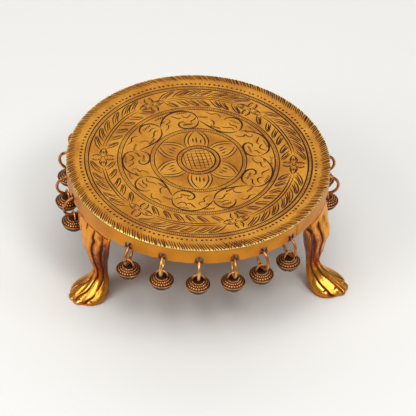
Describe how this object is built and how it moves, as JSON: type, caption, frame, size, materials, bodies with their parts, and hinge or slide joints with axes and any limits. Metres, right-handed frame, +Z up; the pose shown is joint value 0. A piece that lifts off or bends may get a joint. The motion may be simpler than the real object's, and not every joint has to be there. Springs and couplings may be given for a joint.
{
  "type": "bajot low table",
  "caption": "Round engraved brass low stand on cast lion-paw legs, with a drilled rim band hung with wire rings and pellet bells.",
  "frame": {"origin": "centre of the top disc's upper face", "axes": "+Z up out of the top, -Y towards the middle of the front row of bells, +X to the right of it"},
  "size_m": [0.2208, 0.2284, 0.087],
  "materials": {
    "engraved_brass": "satin brass top with dark engraved lines",
    "satin_brass": "satin",
    "cast_brass": "polished casting with dark grooves",
    "plain_brass": "dull",
    "worn_wire": "worn copper-brown wire",
    "dark_bell_metal": "dark copper-brown with rubbed beads"
  },
  "bodies": {
    "stand": {"top_disc": "engraved_brass", "rim_band": "satin_brass", "leg_left": "cast_brass", "leg_right": "cast_brass", "leg_back": "cast_brass", "leg_bosses": "plain_brass", "leg_washers": "plain_brass", "leg_screws": "plain_brass"},
    "ring_01": {"ring_01": "worn_wire"},
    "bell_01": {"bell_01": "dark_bell_metal"},
    "ring_02": {"ring_02": "worn_wire"},
    "bell_02": {"bell_02": "dark_bell_metal"},
    "ring_03": {"ring_03": "worn_wire"},
    "bell_03": {"bell_03": "dark_bell_metal"},
    "ring_04": {"ring_04": "worn_wire"},
    "bell_04": {"bell_04": "dark_bell_metal"},
    "ring_05": {"ring_05": "worn_wire"},
    "bell_05": {"bell_05": "dark_bell_metal"},
    "ring_06": {"ring_06": "worn_wire"},
    "bell_06": {"bell_06": "dark_bell_metal"},
    "ring_07": {"ring_07": "worn_wire"},
    "bell_07": {"bell_07": "dark_bell_metal"},
    "ring_08": {"ring_08": "worn_wire"},
    "bell_08": {"bell_08": "dark_bell_metal"},
    "ring_09": {"ring_09": "worn_wire"},
    "bell_09": {"bell_09": "dark_bell_metal"},
    "ring_10": {"ring_10": "worn_wire"},
    "bell_10": {"bell_10": "dark_bell_metal"},
    "ring_11": {"ring_11": "worn_wire"},
    "bell_11": {"bell_11": "dark_bell_metal"},
    "ring_12": {"ring_12": "worn_wire"},
    "bell_12": {"bell_12": "dark_bell_metal"},
    "ring_13": {"ring_13": "worn_wire"},
    "bell_13": {"bell_13": "dark_bell_metal"},
    "ring_14": {"ring_14": "worn_wire"},
    "bell_14": {"bell_14": "dark_bell_metal"},
    "ring_15": {"ring_15": "worn_wire"},
    "bell_15": {"bell_15": "dark_bell_metal"},
    "ring_16": {"ring_16": "worn_wire"},
    "bell_16": {"bell_16": "dark_bell_metal"},
    "ring_17": {"ring_17": "worn_wire"},
    "bell_17": {"bell_17": "dark_bell_metal"},
    "ring_18": {"ring_18": "worn_wire"},
    "bell_18": {"bell_18": "dark_bell_metal"}
  },
  "joints": [
    {"name": "ring_01_swing", "type": "hinge", "parent": "stand", "child": "ring_01", "pos_m": [-0.05964, -0.07914, -0.0133], "axis": [0.8988, -0.4384, 0], "range_deg": [-45, 45]},
    {"name": "bell_01_swing", "type": "hinge", "parent": "ring_01", "child": "bell_01", "pos_m": [-0.05964, -0.07914, -0.02766], "axis": [-0.4384, -0.8988, 0], "range_deg": [-55, 55]},
    {"name": "ring_02_swing", "type": "hinge", "parent": "stand", "child": "ring_02", "pos_m": [-0.03616, -0.09227, -0.0133], "axis": [0.9641, -0.2656, 0], "range_deg": [-45, 45]},
    {"name": "bell_02_swing", "type": "hinge", "parent": "ring_02", "child": "bell_02", "pos_m": [-0.03616, -0.09227, -0.02766], "axis": [-0.2656, -0.9641, 0], "range_deg": [-55, 55]},
    {"name": "ring_03_swing", "type": "hinge", "parent": "stand", "child": "ring_03", "pos_m": [-0.00967, -0.09863, -0.0133], "axis": [0.9952, -0.0976, 0], "range_deg": [-45, 45]},
    {"name": "bell_03_swing", "type": "hinge", "parent": "ring_03", "child": "bell_03", "pos_m": [-0.00967, -0.09863, -0.02766], "axis": [-0.0976, -0.9952, 0], "range_deg": [-55, 55]},
    {"name": "ring_04_swing", "type": "hinge", "parent": "stand", "child": "ring_04", "pos_m": [0.01653, -0.09771, -0.0133], "axis": [0.9968, 0.0802, 0], "range_deg": [-45, 45]},
    {"name": "bell_04_swing", "type": "hinge", "parent": "ring_04", "child": "bell_04", "pos_m": [0.01653, -0.09771, -0.02766], "axis": [0.0802, -0.9968, 0], "range_deg": [-55, 55]},
    {"name": "ring_05_swing", "type": "hinge", "parent": "stand", "child": "ring_05", "pos_m": [0.03856, -0.09129, -0.0133], "axis": [0.907, 0.421, 0], "range_deg": [-45, 45]},
    {"name": "bell_05_swing", "type": "hinge", "parent": "ring_05", "child": "bell_05", "pos_m": [0.03856, -0.09129, -0.02766], "axis": [0.421, -0.907, 0], "range_deg": [-55, 55]},
    {"name": "ring_06_swing", "type": "hinge", "parent": "stand", "child": "ring_06", "pos_m": [0.06033, -0.07862, -0.0133], "axis": [0.8704, 0.4924, 0], "range_deg": [-45, 45]},
    {"name": "bell_06_swing", "type": "hinge", "parent": "ring_06", "child": "bell_06", "pos_m": [0.06033, -0.07862, -0.02766], "axis": [0.4924, -0.8704, 0], "range_deg": [-55, 55]},
    {"name": "ring_07_swing", "type": "hinge", "parent": "stand", "child": "ring_07", "pos_m": [0.09821, -0.01328, -0.0133], "axis": [0.0645, 0.9979, 0], "range_deg": [-45, 45]},
    {"name": "bell_07_swing", "type": "hinge", "parent": "ring_07", "child": "bell_07", "pos_m": [0.09821, -0.01328, -0.02766], "axis": [0.9979, -0.0645, 0], "range_deg": [-55, 55]},
    {"name": "ring_08_swing", "type": "hinge", "parent": "stand", "child": "ring_08", "pos_m": [0.09848, 0.01105, -0.0133], "axis": [-0.007, 1, 0], "range_deg": [-45, 45]},
    {"name": "bell_08_swing", "type": "hinge", "parent": "ring_08", "child": "bell_08", "pos_m": [0.09848, 0.01105, -0.02766], "axis": [1, 0.007, 0], "range_deg": [-55, 55]},
    {"name": "ring_09_swing", "type": "hinge", "parent": "stand", "child": "ring_09", "pos_m": [0.09156, 0.03792, -0.0133], "axis": [-0.5075, 0.8616, 0], "range_deg": [-45, 45]},
    {"name": "bell_09_swing", "type": "hinge", "parent": "ring_09", "child": "bell_09", "pos_m": [0.09156, 0.03792, -0.02766], "axis": [0.8616, 0.5075, 0], "range_deg": [-55, 55]},
    {"name": "ring_10_swing", "type": "hinge", "parent": "stand", "child": "ring_10", "pos_m": [0.07809, 0.06101, -0.0133], "axis": [-0.6157, 0.788, 0], "range_deg": [-45, 45]},
    {"name": "bell_10_swing", "type": "hinge", "parent": "ring_10", "child": "bell_10", "pos_m": [0.07809, 0.06101, -0.02766], "axis": [0.788, 0.6157, 0], "range_deg": [-55, 55]},
    {"name": "ring_11_swing", "type": "hinge", "parent": "stand", "child": "ring_11", "pos_m": [0.06156, 0.07766, -0.0133], "axis": [-0.7385, 0.6743, 0], "range_deg": [-45, 45]},
    {"name": "bell_11_swing", "type": "hinge", "parent": "ring_11", "child": "bell_11", "pos_m": [0.06156, 0.07766, -0.02766], "axis": [0.6743, 0.7385, 0], "range_deg": [-55, 55]},
    {"name": "ring_12_swing", "type": "hinge", "parent": "stand", "child": "ring_12", "pos_m": [0.0384, 0.09136, -0.0133], "axis": [-0.9573, 0.289, 0], "range_deg": [-45, 45]},
    {"name": "bell_12_swing", "type": "hinge", "parent": "ring_12", "child": "bell_12", "pos_m": [0.0384, 0.09136, -0.02766], "axis": [0.289, 0.9573, 0], "range_deg": [-55, 55]},
    {"name": "ring_13_swing", "type": "hinge", "parent": "stand", "child": "ring_13", "pos_m": [-0.0488, 0.08625, -0.0133], "axis": [-0.8949, -0.4462, 0], "range_deg": [-45, 45]},
    {"name": "bell_13_swing", "type": "hinge", "parent": "ring_13", "child": "bell_13", "pos_m": [-0.0488, 0.08625, -0.02766], "axis": [-0.4462, 0.8949, 0], "range_deg": [-55, 55]},
    {"name": "ring_14_swing", "type": "hinge", "parent": "stand", "child": "ring_14", "pos_m": [-0.0708, 0.06934, -0.0133], "axis": [-0.6074, -0.7944, 0], "range_deg": [-45, 45]},
    {"name": "bell_14_swing", "type": "hinge", "parent": "ring_14", "child": "bell_14", "pos_m": [-0.0708, 0.06934, -0.02766], "axis": [-0.7944, 0.6074, 0], "range_deg": [-55, 55]},
    {"name": "ring_15_swing", "type": "hinge", "parent": "stand", "child": "ring_15", "pos_m": [-0.08667, 0.04804, -0.0133], "axis": [-0.4848, -0.8746, 0], "range_deg": [-45, 45]},
    {"name": "bell_15_swing", "type": "hinge", "parent": "ring_15", "child": "bell_15", "pos_m": [-0.08667, 0.04804, -0.02766], "axis": [-0.8746, 0.4848, 0], "range_deg": [-55, 55]},
    {"name": "ring_16_swing", "type": "hinge", "parent": "stand", "child": "ring_16", "pos_m": [-0.0954, 0.02682, -0.0133], "axis": [-0.3859, -0.9225, 0], "range_deg": [-45, 45]},
    {"name": "bell_16_swing", "type": "hinge", "parent": "ring_16", "child": "bell_16", "pos_m": [-0.0954, 0.02682, -0.02766], "axis": [-0.9225, 0.3859, 0], "range_deg": [-55, 55]},
    {"name": "ring_17_swing", "type": "hinge", "parent": "stand", "child": "ring_17", "pos_m": [-0.0991, -0.00069, -0.0133], "axis": [0.0593, -0.9982, 0], "range_deg": [-45, 45]},
    {"name": "bell_17_swing", "type": "hinge", "parent": "ring_17", "child": "bell_17", "pos_m": [-0.0991, -0.00069, -0.02766], "axis": [-0.9982, -0.0593, 0], "range_deg": [-55, 18]},
    {"name": "ring_18_swing", "type": "hinge", "parent": "stand", "child": "ring_18", "pos_m": [-0.09616, -0.02397, -0.0133], "axis": [0.3256, -0.9455, 0], "range_deg": [-45, 45]},
    {"name": "bell_18_swing", "type": "hinge", "parent": "ring_18", "child": "bell_18", "pos_m": [-0.09616, -0.02397, -0.02766], "axis": [-0.9455, -0.3256, 0], "range_deg": [-55, 10]}
  ]
}
